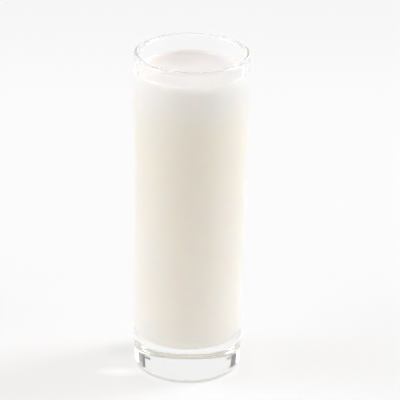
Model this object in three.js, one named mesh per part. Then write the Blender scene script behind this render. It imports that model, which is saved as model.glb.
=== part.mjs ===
// A tall, slim drinking glass filled almost to its rim with ayran, a salted yoghurt drink.
// Millimetres, +Z up. The origin is the centre of the foot, on the surface that the glass stands on.
import * as THREE from 'three'

// Outside of the glass
const HEIGHT = 175.2
const TOP_DIAMETER = 60
const FOOT_DIAMETER = 56.4
const WALL_THICKNESS = 3.2
const HEEL_RADIUS = 4

// The thick clear base: its floor inside, and the very shallow hollow under it
const BASE_THICKNESS = 18.2
const INNER_CORNER_RADIUS = 5
const CONTACT_RING_WIDTH = 4.5
const UNDERSIDE_RISE = 0.15

// The drink: its level, and the edge that climbs the wall
const FILL_LEVEL = 165.8
const MENISCUS_RADIUS = 1.9
const MENISCUS_CONTACT_ANGLE = 30
const CLEARANCE = 0.3

// How finely the round shapes are divided
const SEGMENTS_AROUND = 96
const HEEL_STEPS = 7
const LIP_STEPS = 12
const CORNER_STEPS = 6
const UNDERSIDE_STEPS = 4
const MENISCUS_STEPS = 4

const GLASS_COLOR = 0xf2f5f4
const AYRAN_COLOR = 0xf3eee2

// The wall leans outwards by this much as it rises
const LEAN = Math.atan((TOP_DIAMETER - FOOT_DIAMETER) / 2 / HEIGHT)
const LEAN_DEGREES = THREE.MathUtils.radToDeg(LEAN)

// Radius, at a height, of a line that runs a given depth inside the outer wall
function radiusInside(depth, z) {
  return FOOT_DIAMETER / 2 + z * Math.tan(LEAN) - depth / Math.cos(LEAN)
}

// Points on a round stretch of a profile, from one direction to another, in degrees
function arc(centre, radius, fromDegrees, toDegrees, steps) {
  const points = []
  for (let i = 0; i <= steps; i++) {
    const angle = THREE.MathUtils.degToRad(fromDegrees + ((toDegrees - fromDegrees) * i) / steps)
    points.push(new THREE.Vector2(centre.x + radius * Math.cos(angle), centre.y + radius * Math.sin(angle)))
  }
  return points
}

// Centre of a round stretch that touches the line `depth` inside the outer wall
function centreInside(depth, z) {
  return new THREE.Vector2(radiusInside(depth, z), z)
}

// The hollow under the foot: a low dome from the axis out to the contact ring
function undersidePoints(ringInnerRadius) {
  const points = []
  for (let i = 0; i <= UNDERSIDE_STEPS; i++) {
    const share = i / UNDERSIDE_STEPS
    points.push(new THREE.Vector2(ringInnerRadius * share, UNDERSIDE_RISE * (1 - share * share)))
  }
  return points
}

// Half section of the glass, from the axis under the foot, up the outside, over the rim and down inside
function glassProfile() {
  const lipRadius = WALL_THICKNESS / 2
  const heelCentre = centreInside(HEEL_RADIUS, HEEL_RADIUS)
  const lipCentre = centreInside(lipRadius, HEIGHT - lipRadius)
  const cornerCentre = innerCornerCentre()
  return [
    ...undersidePoints(heelCentre.x - CONTACT_RING_WIDTH),
    ...arc(heelCentre, HEEL_RADIUS, -90, -LEAN_DEGREES, HEEL_STEPS),
    ...arc(lipCentre, lipRadius, -LEAN_DEGREES, 180 - LEAN_DEGREES, LIP_STEPS),
    ...arc(cornerCentre, INNER_CORNER_RADIUS, -LEAN_DEGREES, -90, CORNER_STEPS),
    new THREE.Vector2(0, BASE_THICKNESS)
  ]
}

// The round corner between the inner wall and the floor that the drink rests on
function innerCornerCentre() {
  return centreInside(WALL_THICKNESS + INNER_CORNER_RADIUS, BASE_THICKNESS + INNER_CORNER_RADIUS)
}

// Half section of the drink: floor, round corner, wall, and a top that climbs at its edge
function ayranProfile() {
  const depth = WALL_THICKNESS + CLEARANCE
  const reach = MENISCUS_RADIUS * Math.cos(THREE.MathUtils.degToRad(MENISCUS_CONTACT_ANGLE))
  const meniscusCentre = centreInside(depth + reach, FILL_LEVEL + MENISCUS_RADIUS)
  const corner = arc(innerCornerCentre(), INNER_CORNER_RADIUS - CLEARANCE, -90, -LEAN_DEGREES, CORNER_STEPS)
  return [
    new THREE.Vector2(0, BASE_THICKNESS + CLEARANCE),
    ...corner,
    ...arc(meniscusCentre, MENISCUS_RADIUS, -MENISCUS_CONTACT_ANGLE, -90, MENISCUS_STEPS),
    new THREE.Vector2(0, FILL_LEVEL)
  ]
}

// Turns a half section round the upright axis
function turned(name, profile, material) {
  const geometry = new THREE.LatheGeometry(profile, SEGMENTS_AROUND)
  geometry.rotateX(Math.PI / 2)
  const mesh = new THREE.Mesh(geometry, material)
  mesh.name = name
  return mesh
}

const glassMaterial = new THREE.MeshStandardMaterial({
  color: GLASS_COLOR, roughness: 0.03, metalness: 0, transparent: true, opacity: 0.35
})
const ayranMaterial = new THREE.MeshStandardMaterial({ color: AYRAN_COLOR, roughness: 0.35, metalness: 0 })

const glassOfAyran = new THREE.Group()
glassOfAyran.add(turned('glass', glassProfile(), glassMaterial))
glassOfAyran.add(turned('ayran', ayranProfile(), ayranMaterial))

export default glassOfAyran
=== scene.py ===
import math

import bpy
from mathutils import Matrix, Vector


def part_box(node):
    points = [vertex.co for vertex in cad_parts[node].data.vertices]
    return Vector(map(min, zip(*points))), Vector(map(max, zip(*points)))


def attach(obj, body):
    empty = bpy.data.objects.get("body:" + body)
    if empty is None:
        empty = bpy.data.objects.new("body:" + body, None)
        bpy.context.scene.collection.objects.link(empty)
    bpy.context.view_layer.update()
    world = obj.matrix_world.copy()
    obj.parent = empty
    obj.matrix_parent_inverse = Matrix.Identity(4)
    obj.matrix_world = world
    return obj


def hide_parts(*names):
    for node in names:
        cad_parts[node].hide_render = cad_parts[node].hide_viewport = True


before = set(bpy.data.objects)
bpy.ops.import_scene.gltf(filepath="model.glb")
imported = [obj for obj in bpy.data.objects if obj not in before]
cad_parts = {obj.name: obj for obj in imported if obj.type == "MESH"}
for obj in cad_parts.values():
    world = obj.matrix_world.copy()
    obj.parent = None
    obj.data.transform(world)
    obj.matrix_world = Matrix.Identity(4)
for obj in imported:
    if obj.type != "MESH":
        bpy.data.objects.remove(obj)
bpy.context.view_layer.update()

MM = 0.001

# Sizes of the glass, in metres, as the solids have them
_, GLASS_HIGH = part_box("glass")
AYRAN_LOW, AYRAN_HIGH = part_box("ayran")
HEIGHT = GLASS_HIGH.z
TOP_RADIUS = 30.0 * MM
FOOT_RADIUS = 28.2 * MM
WALL = 3.2 * MM
HEEL_RADIUS = 4.0 * MM
CORNER_RADIUS = 5.0 * MM
RING_WIDTH = 4.5 * MM
UNDERSIDE_RISE = 0.15 * MM
CLEARANCE = 0.3 * MM
FLOOR_INSIDE = AYRAN_LOW.z - CLEARANCE
LEAN = math.atan((TOP_RADIUS - FOOT_RADIUS) / HEIGHT)

# The drink: level, the edge that climbs the wall, and how far it reaches into the wall
MENISCUS_RADIUS = 1.9 * MM
CONTACT_ANGLE = math.radians(30)
LEVEL = AYRAN_HIGH.z - MENISCUS_RADIUS * (1 - math.sin(CONTACT_ANGLE))
INTO_WALL = 0.12 * MM

# How finely the round shapes are divided: round the axis, then along each stretch of the profiles
SEGMENTS = 256
UNDERSIDE_STEPS = 16
RING_STEPS = 3
HEEL_STEPS = 16
WALL_STEPS = 24
LIP_STEPS = 32
CORNER_STEPS = 16
BOTTOM_STEPS = 8
DRINK_WALL_STEPS = 48
MENISCUS_STEPS = 12
SURFACE_STEPS = 12
NEAR_ROUND_PART = 0.15 * MM


def radius_inside(depth, z):
    """Radius at a height of a line that runs this far inside the outer wall."""
    return FOOT_RADIUS + z * math.tan(LEAN) - depth / math.cos(LEAN)


def centre_inside(depth, z):
    """Centre of a round stretch that touches the line this far inside the outer wall."""
    return (radius_inside(depth, z), z)


def arc(centre, radius, start, end, steps):
    """Points of a round stretch of a profile, between two angles in radians."""
    angles = [start + (end - start) * i / steps for i in range(steps + 1)]
    return [(centre[0] + radius * math.cos(a), centre[1] + radius * math.sin(a)) for a in angles]


def line(start, end, steps):
    """Points between two ends. One lies close to each end, so that shading stays flat up to round parts."""
    edge = NEAR_ROUND_PART / math.dist(start, end)
    shares = [edge] + [i / steps for i in range(1, steps)] + [1 - edge]
    return [(start[0] + (end[0] - start[0]) * s, start[1] + (end[1] - start[1]) * s) for s in shares]


def lathe(name, profile):
    """A smooth body of revolution. The profile starts and ends on the axis."""
    verts = [(0, 0, profile[0][1])]
    rings = profile[1:-1]
    for r, z in rings:
        for k in range(SEGMENTS):
            a = 2 * math.pi * k / SEGMENTS
            verts.append((r * math.cos(a), r * math.sin(a), z))
    verts.append((0, 0, profile[-1][1]))
    last = len(verts) - 1
    top = last - SEGMENTS
    faces = []
    for k in range(SEGMENTS):
        n = (k + 1) % SEGMENTS
        faces.append((0, 1 + n, 1 + k))
        for i in range(len(rings) - 1):
            a = 1 + i * SEGMENTS
            b = a + SEGMENTS
            faces.append((a + k, a + n, b + n, b + k))
        faces.append((top + k, top + n, last))
    mesh = bpy.data.meshes.new(name)
    mesh.from_pydata(verts, [], faces)
    mesh.update()
    mesh.shade_smooth()
    return add_object(name, mesh)


def add_object(name, data):
    made = bpy.data.objects.new(name, data)
    bpy.context.scene.collection.objects.link(made)
    return made


def inner_corner():
    """Centre of the round corner between the inner wall and the floor that the drink rests on."""
    return centre_inside(WALL + CORNER_RADIUS, FLOOR_INSIDE + CORNER_RADIUS)


def underside(ring_inner):
    """The very shallow hollow under the foot, from the axis out to the contact ring."""
    shares = [i / UNDERSIDE_STEPS for i in range(UNDERSIDE_STEPS + 1)]
    return [(ring_inner * share, UNDERSIDE_RISE * (1 - share * share)) for share in shares]


def glass_profile():
    """From the axis under the foot, up the outside, over the rim and down inside to the axis."""
    lip = WALL / 2
    heel = centre_inside(HEEL_RADIUS, HEEL_RADIUS)
    under = underside(heel[0] - RING_WIDTH)
    heel_arc = arc(heel, HEEL_RADIUS, -math.pi / 2, -LEAN, HEEL_STEPS)
    lip_arc = arc(centre_inside(lip, HEIGHT - lip), lip, -LEAN, math.pi - LEAN, LIP_STEPS)
    corner_arc = arc(inner_corner(), CORNER_RADIUS, -LEAN, -math.pi / 2, CORNER_STEPS)
    return (
        under
        + line(under[-1], heel_arc[0], RING_STEPS)
        + heel_arc
        + line(heel_arc[-1], lip_arc[0], WALL_STEPS)
        + lip_arc
        + line(lip_arc[-1], corner_arc[0], WALL_STEPS)
        + corner_arc
        + line(corner_arc[-1], (0, FLOOR_INSIDE), BOTTOM_STEPS)[:-1]
        + [(0, FLOOR_INSIDE)]
    )


def ayran_profile():
    """From the axis at the bottom, round the corner, up the wall, and in over the surface to the axis."""
    low = FLOOR_INSIDE - INTO_WALL
    reach = MENISCUS_RADIUS * math.cos(CONTACT_ANGLE)
    meniscus = centre_inside(WALL - INTO_WALL + reach, LEVEL + MENISCUS_RADIUS)
    corner_arc = arc(inner_corner(), CORNER_RADIUS + INTO_WALL, -math.pi / 2, -LEAN, CORNER_STEPS)
    meniscus_arc = arc(meniscus, MENISCUS_RADIUS, -CONTACT_ANGLE, -math.pi / 2, MENISCUS_STEPS)
    return (
        [(0, low)]
        + line((0, low), corner_arc[0], BOTTOM_STEPS)[1:]
        + corner_arc
        + line(corner_arc[-1], meniscus_arc[0], DRINK_WALL_STEPS)
        + meniscus_arc
        + line(meniscus_arc[-1], (0, LEVEL), SURFACE_STEPS)[:-1]
        + [(0, LEVEL)]
    )


class Graph:
    """Small helper that writes node arithmetic for a material or for the studio's light."""

    def __init__(self, tree):
        self.nodes = tree.nodes
        self.links = tree.links

    def put(self, socket, value):
        """Links another node's output to a socket, or sets the socket to a plain value."""
        if hasattr(value, "is_linked"):
            self.links.new(value, socket)
        else:
            socket.default_value = value

    def math(self, operation, a, b=None):
        node = self.nodes.new("ShaderNodeMath")
        node.operation = operation
        self.put(node.inputs[0], a)
        if b is not None:
            self.put(node.inputs[1], b)
        return node.outputs[0]

    def plus(self, a, b):
        return self.math("ADD", a, b)

    def times(self, a, b):
        return self.math("MULTIPLY", a, b)

    def axes(self, vector):
        node = self.nodes.new("ShaderNodeSeparateXYZ")
        self.links.new(vector, node.inputs[0])
        return node.outputs["X"], node.outputs["Y"], node.outputs["Z"]

    def ramp(self, value, low, high, bottom=0.0, top=1.0):
        """bottom below low, top above high, smooth between."""
        node = self.nodes.new("ShaderNodeMapRange")
        node.interpolation_type = "SMOOTHSTEP"
        self.links.new(value, node.inputs["Value"])
        node.inputs["From Min"].default_value = low
        node.inputs["From Max"].default_value = high
        node.inputs["To Min"].default_value = bottom
        node.inputs["To Max"].default_value = top
        return node.outputs["Result"]

    def between(self, value, low, high, soft):
        """1 between low and high, 0 outside, with soft edges."""
        up = self.ramp(value, low - soft / 2, low + soft / 2)
        down = self.ramp(value, high - soft / 2, high + soft / 2, 1.0, 0.0)
        return self.times(up, down)

    def distance(self, vector, point):
        node = self.nodes.new("ShaderNodeVectorMath")
        node.operation = "DISTANCE"
        self.links.new(vector, node.inputs[0])
        node.inputs[1].default_value = point
        return node.outputs["Value"]

    def scaled(self, vector, factors):
        node = self.nodes.new("ShaderNodeVectorMath")
        node.operation = "MULTIPLY"
        self.links.new(vector, node.inputs[0])
        node.inputs[1].default_value = factors
        return node.outputs["Vector"]

    def cover(self, under, mask, color):
        """Lays a colour over what is there, as far as the mask says."""
        node = self.nodes.new("ShaderNodeMix")
        node.data_type = "RGBA"
        self.put(node.inputs["Factor"], mask)
        self.put(node.inputs[6], under)
        self.put(node.inputs[7], (*color, 1.0))
        return node.outputs[2]

    def place(self):
        """Position on the object itself, in metres."""
        return self.nodes.new("ShaderNodeTexCoord").outputs["Object"]

    def noise(self, place, scale, detail):
        node = self.nodes.new("ShaderNodeTexNoise")
        self.links.new(place, node.inputs["Vector"])
        node.inputs["Scale"].default_value = scale
        node.inputs["Detail"].default_value = detail
        return node.outputs[0]

    def bump(self, height, distance):
        node = self.nodes.new("ShaderNodeBump")
        node.inputs["Strength"].default_value = 1.0
        node.inputs["Distance"].default_value = distance
        self.links.new(height, node.inputs["Height"])
        return node.outputs["Normal"]


def new_material(name):
    material = bpy.data.materials.new(name)
    material.use_nodes = True
    graph = Graph(material.node_tree)
    return material, graph, graph.nodes["Principled BSDF"].inputs


# Clear glass, faintly wavy. The absorption makes long ways through it grey, in the base and along the rim.
GLASS_IOR = 1.52
GLASS_TINT = (0.90, 0.905, 0.895, 1)
GLASS_DENSITY = 13.0
GLASS_WAVE_SCALE = 45.0
GLASS_WAVE_DETAIL = 1.0
GLASS_WAVE_HEIGHT = 0.002 * MM


def glass_material():
    material, graph, inputs = new_material("clear_glass")
    inputs["Base Color"].default_value = (1, 1, 1, 1)
    inputs["Roughness"].default_value = 0.0
    inputs["IOR"].default_value = GLASS_IOR
    inputs["Transmission Weight"].default_value = 1.0
    waves = graph.noise(graph.place(), GLASS_WAVE_SCALE, GLASS_WAVE_DETAIL)
    graph.links.new(graph.bump(waves, GLASS_WAVE_HEIGHT), inputs["Normal"])
    absorption = graph.nodes.new("ShaderNodeVolumeAbsorption")
    absorption.inputs["Color"].default_value = GLASS_TINT
    absorption.inputs["Density"].default_value = GLASS_DENSITY
    graph.links.new(absorption.outputs["Volume"], graph.nodes["Material Output"].inputs["Volume"])
    return material


# Colours of the ayran: lighter low down as painted light from below, the body colour above that, whiter near
# its level as painted light from above, the faint clouds all through it, its open surface darker as painted
# shade, a darker spot there as painted shade, and a whiter ring along the wall, partly froth and partly a
# painted highlight
AYRAN_LIT_LOW = (0.992, 0.953, 0.890)
AYRAN_UPPER = (0.972, 0.927, 0.856)
AYRAN_LIT_NEAR_LEVEL = (0.978, 0.980, 0.962)
AYRAN_CLOUD = (0.964, 0.922, 0.852)
# The open surface is the same drink, given a darker colour as painted shade
AYRAN_SHADED_TOP = (0.865, 0.842, 0.815)
# A darker spot towards the back of the open surface, as painted shade
AYRAN_PAINTED_SHADE = (0.80, 0.755, 0.74)
# A whiter ring along the wall: partly froth, partly a painted highlight where the edge of the drink catches
# the light
AYRAN_FOAM_AND_HIGHLIGHT = (0.93, 0.915, 0.89)
SCATTER_RADIUS = (1.0, 0.8, 0.6)
SCATTER_SCALE = 3 * MM
CLOUD_SCALE = 45.0
CLOUD_DETAIL = 2.0
CLOUD_RANGE = (0.5, 0.9)

# The open surface
TOP_ROUGHNESS = 0.3
TOP_IOR = 1.34
# Where the painted shade lies on the open surface, and how it fades
PAINTED_SHADE_CENTRE = (-5 * MM, 18 * MM, LEVEL)
PAINTED_SHADE_FADE = (3 * MM, 19 * MM)
FOAM_AND_HIGHLIGHT_FADE = (3.5 * MM, 0.5 * MM)
SWELL_SCALE = 60.0
SWELL_DETAIL = 2.0
SWELL_HEIGHT = 0.15 * MM

# Where the drink touches the glass, with the heights between which one colour turns into the next
WALL_ROUGHNESS = 0.5
WALL_IOR = 1.02
LIT_LOW_TO_UPPER = (30 * MM, 140 * MM)
UPPER_TO_LIT_NEAR_LEVEL = (142 * MM, 161 * MM)


def ayran_base(name, roughness, ior):
    material, graph, inputs = new_material(name)
    inputs["Roughness"].default_value = roughness
    inputs["IOR"].default_value = ior
    inputs["Subsurface Weight"].default_value = 1.0
    inputs["Subsurface Radius"].default_value = SCATTER_RADIUS
    inputs["Subsurface Scale"].default_value = SCATTER_SCALE
    return material, graph, inputs


def clouded(graph, place, color):
    clouds = graph.ramp(graph.noise(place, CLOUD_SCALE, CLOUD_DETAIL), *CLOUD_RANGE)
    return graph.cover(color, clouds, AYRAN_CLOUD)


def ayran_top_material():
    """The open surface, darker than the drink below it as painted shade: slight swells, a painted shade
    towards the back, and a whiter ring along the wall, partly froth and partly a painted highlight.
    """
    material, graph, inputs = ayran_base("ayran", TOP_ROUGHNESS, TOP_IOR)
    place = graph.place()
    color = clouded(graph, place, (*AYRAN_SHADED_TOP, 1.0))
    painted_shade_patch = graph.ramp(graph.distance(place, PAINTED_SHADE_CENTRE), *PAINTED_SHADE_FADE, 1.0, 0.0)
    color = graph.cover(color, painted_shade_patch, AYRAN_PAINTED_SHADE)
    edge = radius_inside(WALL, LEVEL)
    # Whiter ring along the wall, partly froth and partly a painted highlight
    foam_and_highlight = graph.ramp(graph.distance(place, (0, 0, LEVEL)), edge - FOAM_AND_HIGHLIGHT_FADE[0], edge - FOAM_AND_HIGHLIGHT_FADE[1])
    graph.links.new(graph.cover(color, foam_and_highlight, AYRAN_FOAM_AND_HIGHLIGHT), inputs["Base Color"])
    swells = graph.noise(place, SWELL_SCALE, SWELL_DETAIL)
    graph.links.new(graph.bump(swells, SWELL_HEIGHT), inputs["Normal"])
    return material


def ayran_wall_material():
    """The drink where it touches the glass, so that next to no light is lost between the two."""
    material, graph, inputs = ayran_base("ayran_at_wall", WALL_ROUGHNESS, WALL_IOR)
    place = graph.place()
    height = graph.axes(place)[2]
    # Lighter low down and whiter near the level, both as painted light
    color = graph.cover((*AYRAN_LIT_LOW, 1.0), graph.ramp(height, *LIT_LOW_TO_UPPER), AYRAN_UPPER)
    color = graph.cover(color, graph.ramp(height, *UPPER_TO_LIT_NEAR_LEVEL), AYRAN_LIT_NEAR_LEVEL)
    graph.links.new(clouded(graph, place, color), inputs["Base Color"])
    return material


# The drink's faces lower than this take the material that touches the glass
SURFACE_LOW = LEVEL - 0.1 * MM


def make_glass():
    glass = lathe("drinking_glass", glass_profile())
    glass.data.materials.append(glass_material())
    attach(glass, "root")
    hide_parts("glass")


def make_ayran():
    ayran = lathe("ayran_drink", ayran_profile())
    ayran.data.materials.append(ayran_top_material())
    ayran.data.materials.append(ayran_wall_material())
    for face in ayran.data.polygons:
        if face.center.z < SURFACE_LOW:
            face.material_index = 1
    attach(ayran, "root")
    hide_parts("ayran")


# The floor is a round sheet of white paper, just under the foot. It gives off part of its light, as an
# overlit white sweep does.
FLOOR_Z = -0.03 * MM
FLOOR_RADIUS = 4.0
FLOOR_SIDES = 128
FLOOR_ROUGHNESS = 0.9
FLOOR_SPECULAR = 0.1
FLOOR_WHITE = 0.45
FLOOR_GLOW = 0.509
FLOOR_GLOW_COLOR = (0.985, 0.987, 0.985, 1)

# Each fade is a range of places and the light at its two ends
FADE_IN_FRONT = (-600 * MM, -120 * MM, 0.75, 1.0)
FADE_AT_BACK = (300 * MM, 580 * MM, 1.0, 0.955)
# The painted contact shadow, a dark ring where the foot touches the floor: inner and outer radius, soft
# edge, change of the light
CONTACT_SHADOW_RING = (24.5 * MM, 27 * MM, 1.5 * MM)
CONTACT_SHADOW_DEPTH = -0.4
# Painted light on the floor just in front of the glass, by depth and by distance from the axis
GLEAM_BY_DEPTH = (-20 * MM, 0, 0.075, 0.0)
GLEAM_BY_DISTANCE = (28 * MM, 33 * MM, 1.0, 0.0)
# Painted shade: the floor slightly darker behind the glass
BEHIND_BEGINS = (10 * MM, 60 * MM)
BEHIND_ENDS = (80 * MM, 200 * MM, -0.045, 0.0)
# A painted caustic, the bright spot that light makes through the base, wider than it is deep, and a painted
# shadow core beside it
CAUSTIC_CENTRE = (-35 * MM, -15.5 * MM)
CAUSTIC_FLATTENED = 0.45
CAUSTIC_FADE = (1 * MM, 7 * MM, 0.21, 0.0)
SHADOW_CENTRE = (-36 * MM, 10 * MM, 0)
SHADOW_FADE = (2 * MM, 14 * MM, -0.1, 0.0)


def glow_near_glass(graph, place, away, y):
    """How much the floor's glow is raised or lowered around the glass, as a share of it: painted light and
    painted shade.
    """
    gleam = graph.times(graph.ramp(y, *GLEAM_BY_DEPTH), graph.ramp(away, *GLEAM_BY_DISTANCE))
    behind = graph.times(graph.ramp(y, *BEHIND_BEGINS), graph.ramp(y, *BEHIND_ENDS))
    flattened = graph.scaled(place, (CAUSTIC_FLATTENED, 1, 1))
    centre = (CAUSTIC_CENTRE[0] * CAUSTIC_FLATTENED, CAUSTIC_CENTRE[1], 0)
    caustic = graph.ramp(graph.distance(flattened, centre), *CAUSTIC_FADE)
    shadow = graph.ramp(graph.distance(place, SHADOW_CENTRE), *SHADOW_FADE)
    return graph.plus(graph.plus(gleam, behind), graph.plus(caustic, shadow))


def floor_material():
    material, graph, inputs = new_material("white_paper")
    inputs["Roughness"].default_value = FLOOR_ROUGHNESS
    inputs["Specular IOR Level"].default_value = FLOOR_SPECULAR
    inputs["Emission Color"].default_value = FLOOR_GLOW_COLOR
    place = graph.place()
    away = graph.distance(place, (0, 0, 0))
    y = graph.axes(place)[1]
    light = graph.times(graph.ramp(y, *FADE_IN_FRONT), graph.ramp(y, *FADE_AT_BACK))
    white = graph.nodes.new("ShaderNodeCombineColor")
    for channel in range(3):
        graph.links.new(graph.times(light, FLOOR_WHITE), white.inputs[channel])
    graph.links.new(white.outputs[0], inputs["Base Color"])
    # Painted contact shadow in the floor's glow where the foot stands
    contact = graph.times(graph.between(away, *CONTACT_SHADOW_RING), CONTACT_SHADOW_DEPTH)
    glow = graph.times(light, graph.plus(contact, 1.0))
    glow = graph.times(glow, graph.plus(glow_near_glass(graph, place, away, y), 1.0))
    graph.links.new(graph.times(glow, FLOOR_GLOW), inputs["Emission Strength"])
    return material


def make_floor():
    angles = [2 * math.pi * k / FLOOR_SIDES for k in range(FLOOR_SIDES)]
    ring = [(FLOOR_RADIUS * math.cos(a), FLOOR_RADIUS * math.sin(a), FLOOR_Z) for a in angles]
    mesh = bpy.data.meshes.new("floor")
    mesh.from_pydata(ring, [], [tuple(range(FLOOR_SIDES))])
    floor = add_object("floor", mesh)
    floor.data.materials.append(floor_material())


# The room, from behind the glass round to the front. Azimuths run from behind the glass towards its right,
# elevations from level to straight up, both in degrees.
GAP = (0.62, 0.61, 0.57)
WALL_ABOVE = (0.62, 0.60, 0.53)
WALL_ABOVE_STARTS = (36, 40)
WALL_ABOVE_ENDS = 60
WALL_ABOVE_SOFT = 4
FRONT = (0.545, 0.435, 0.30)
FRONT_STARTS = (117, 123)
FRONT_WALL = (0.52, 0.485, 0.435)
FRONT_WALL_RANGE = (9, 31)
FRONT_WALL_SOFT = 4
CEILING = (0.34, 0.34, 0.34)
CEILING_STARTS = (56, 66)
SEEN_BEHIND = (0.93, 0.93, 0.93, 1)

# Flat upright panels of light: the azimuth each faces from, how far it reaches to the left and right and up
# of that, its soft edge, and its light. They are the backdrop, the right and the left panel.
PANELS = [
    (0, -50.5, 45.5, 39.4, 0.02, (0.95, 0.95, 0.95)),
    (90, -28.0, 30.0, 42.0, 0.05, (1.90, 2.00, 2.26)),
    (-90, -30.0, 24.5, 46.0, 0.05, (2.25, 2.32, 2.60)),
]
PANEL_FOOT = -20
NEVER_BEHIND = 0.001
# Dark stands between the backdrop and the side panels: azimuths, then elevations, between which each is seen
STANDS = [
    (45.5, 51.5, 26.2, 30.5, (0.22, 0.22, 0.215)),
    (51.5, 62.0, 26.2, 28.6, (0.42, 0.42, 0.41)),
    (36.0, 45.5, 26.2, 26.8, (0.25, 0.25, 0.24)),
    (-65.5, -50.5, 26.2, 31.5, (0.18, 0.18, 0.175)),
    (-50.5, -41.0, 26.2, 26.8, (0.4, 0.4, 0.38)),
]
STAND_SOFT_SIDES = 1.0
STAND_SOFT_ENDS = 0.4
# Round lamps that throw the soft shadows to the left and right: azimuth, elevation, size, light
LAMPS = [
    (69.0, 42.0, 19.0, (12.4, 12.4, 13.1)),
    (-90.0, 40.0, 18.0, (5.5, 5.5, 5.9)),
]
LAMP_EDGE = (0.85, 1.15)


def direction(azimuth, elevation):
    a, e = math.radians(azimuth), math.radians(elevation)
    return (math.sin(a) * math.cos(e), math.cos(a) * math.cos(e), math.sin(e))


def room(graph, azimuth, elevation):
    """The walls beside, above and in front of the panels."""
    off_axis = graph.math("ABSOLUTE", azimuth)
    level_part = graph.between(off_axis, -90, WALL_ABOVE_ENDS, WALL_ABOVE_SOFT)
    above = graph.times(graph.ramp(elevation, *WALL_ABOVE_STARTS), level_part)
    light = graph.cover((*GAP, 1.0), above, WALL_ABOVE)
    front = graph.ramp(off_axis, *FRONT_STARTS)
    light = graph.cover(light, front, FRONT)
    front_wall = graph.times(front, graph.between(elevation, *FRONT_WALL_RANGE, FRONT_WALL_SOFT))
    return graph.cover(light, front_wall, FRONT_WALL)


def panel_mask(graph, axes, facing, reaches, soft):
    """Where a flat upright panel is seen. Its edges are straight, so they are kept as tangents."""
    x, y, z = axes
    turn = math.radians(facing)
    left, right, top = [math.tan(math.radians(reach)) for reach in reaches]
    ahead = graph.plus(graph.times(x, math.sin(turn)), graph.times(y, math.cos(turn)))
    aside = graph.math("SUBTRACT", graph.times(x, math.cos(turn)), graph.times(y, math.sin(turn)))
    ahead = graph.math("MAXIMUM", ahead, NEVER_BEHIND)
    across = graph.between(graph.math("DIVIDE", aside, ahead), left, right, soft)
    return graph.times(across, graph.between(graph.math("DIVIDE", z, ahead), PANEL_FOOT, top, soft))


def stand_mask(graph, azimuth, elevation, stand):
    near, far, low, high = stand
    sides = graph.between(azimuth, near, far, STAND_SOFT_SIDES)
    return graph.times(sides, graph.between(elevation, low, high, STAND_SOFT_ENDS))


def lamp_mask(graph, toward, azimuth, elevation, size):
    """A disc round the lamp's direction. Distances are those between points on a sphere of radius 1."""
    half = 2 * math.sin(math.radians(size / 4))
    from_lamp = graph.distance(toward, direction(azimuth, elevation))
    return graph.ramp(from_lamp, half * LAMP_EDGE[0], half * LAMP_EDGE[1], 1.0, 0.0)


def studio_light(graph):
    """The light that comes from each direction round the glass."""
    toward = graph.nodes.new("ShaderNodeTexCoord").outputs["Generated"]
    x, y, z = graph.axes(toward)
    azimuth = graph.times(graph.math("ARCTAN2", x, y), math.degrees(1))
    elevation = graph.times(graph.math("ARCSINE", z), math.degrees(1))
    light = room(graph, azimuth, elevation)
    for facing, left, right, top, soft, color in PANELS:
        light = graph.cover(light, panel_mask(graph, (x, y, z), facing, (left, right, top), soft), color)
    for *stand, color in STANDS:
        light = graph.cover(light, stand_mask(graph, azimuth, elevation, stand), color)
    light = graph.cover(light, graph.ramp(elevation, *CEILING_STARTS), CEILING)
    for lamp_azimuth, lamp_elevation, size, color in LAMPS:
        light = graph.cover(light, lamp_mask(graph, toward, lamp_azimuth, lamp_elevation, size), color)
    return light


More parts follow.
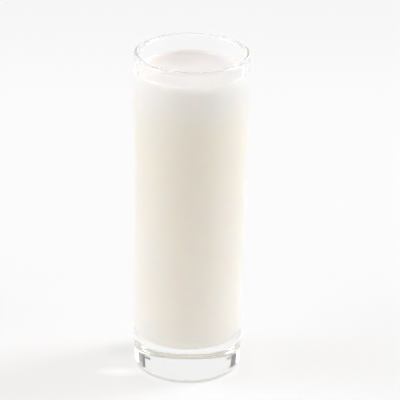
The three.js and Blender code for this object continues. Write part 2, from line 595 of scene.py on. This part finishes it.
def make_world():
    """The studio lights the glass, and what shows past the floor's edge is plain and pale."""
    world = bpy.data.worlds.new("studio")
    bpy.context.scene.world = world
    world.use_nodes = True
    graph = Graph(world.node_tree)
    background = graph.nodes["Background"]
    graph.links.new(studio_light(graph), background.inputs["Color"])
    plain = graph.nodes.new("ShaderNodeBackground")
    plain.inputs["Color"].default_value = SEEN_BEHIND
    mix = graph.nodes.new("ShaderNodeMixShader")
    path = graph.nodes.new("ShaderNodeLightPath")
    graph.links.new(path.outputs["Is Camera Ray"], mix.inputs[0])
    graph.links.new(background.outputs[0], mix.inputs[1])
    graph.links.new(plain.outputs[0], mix.inputs[2])
    graph.links.new(mix.outputs[0], graph.nodes["World Output"].inputs["Surface"])


# Camera, fitted to the rim, the sides and the foot of the glass in the photograph
ELEVATION = math.radians(24.2)
DISTANCE = 44.08 * TOP_RADIUS
FOCAL_PIXELS = 2539.0
FRAME_PIXELS = 400.0
PAN_PIXELS = -10.35
TILT_PIXELS = 8.90
ROLL = math.radians(-0.957)
SENSOR = 36.0
AIM_BELOW_RIM = 87.0 * MM
CLIP_START = 0.01
CLIP_END = 50


def make_camera():
    data = bpy.data.cameras.new("camera")
    data.sensor_width = SENSOR
    data.lens = FOCAL_PIXELS / FRAME_PIXELS * SENSOR
    data.clip_start = CLIP_START
    data.clip_end = CLIP_END
    camera = add_object("camera", data)
    target = Vector((0, 0, HEIGHT - AIM_BELOW_RIM))
    back = Vector((0, -math.cos(ELEVATION), math.sin(ELEVATION)))
    camera.location = target + back * DISTANCE
    aim = (-back).to_track_quat("-Z", "Y").to_matrix()
    pan = Matrix.Rotation(math.atan(PAN_PIXELS / FOCAL_PIXELS), 3, "Y")
    tilt = Matrix.Rotation(math.atan(TILT_PIXELS / FOCAL_PIXELS), 3, "X")
    roll = Matrix.Rotation(-ROLL, 3, "Z")
    camera.rotation_mode = "QUATERNION"
    camera.rotation_quaternion = (aim @ pan @ tilt @ roll).to_quaternion()
    bpy.context.scene.camera = camera


def set_light_paths():
    """Enough bounces for light to get through the glass to the drink and back, and none of it blurred."""
    cycles = bpy.context.scene.cycles
    cycles.use_denoising = True
    cycles.blur_glossy = 0
    cycles.max_bounces = 32
    cycles.diffuse_bounces = 6
    cycles.transmission_bounces = 32
    cycles.glossy_bounces = 24


make_camera()
make_world()
make_floor()
make_glass()
make_ayran()
set_light_paths()
bpy.context.scene.view_settings.view_transform = "Standard"
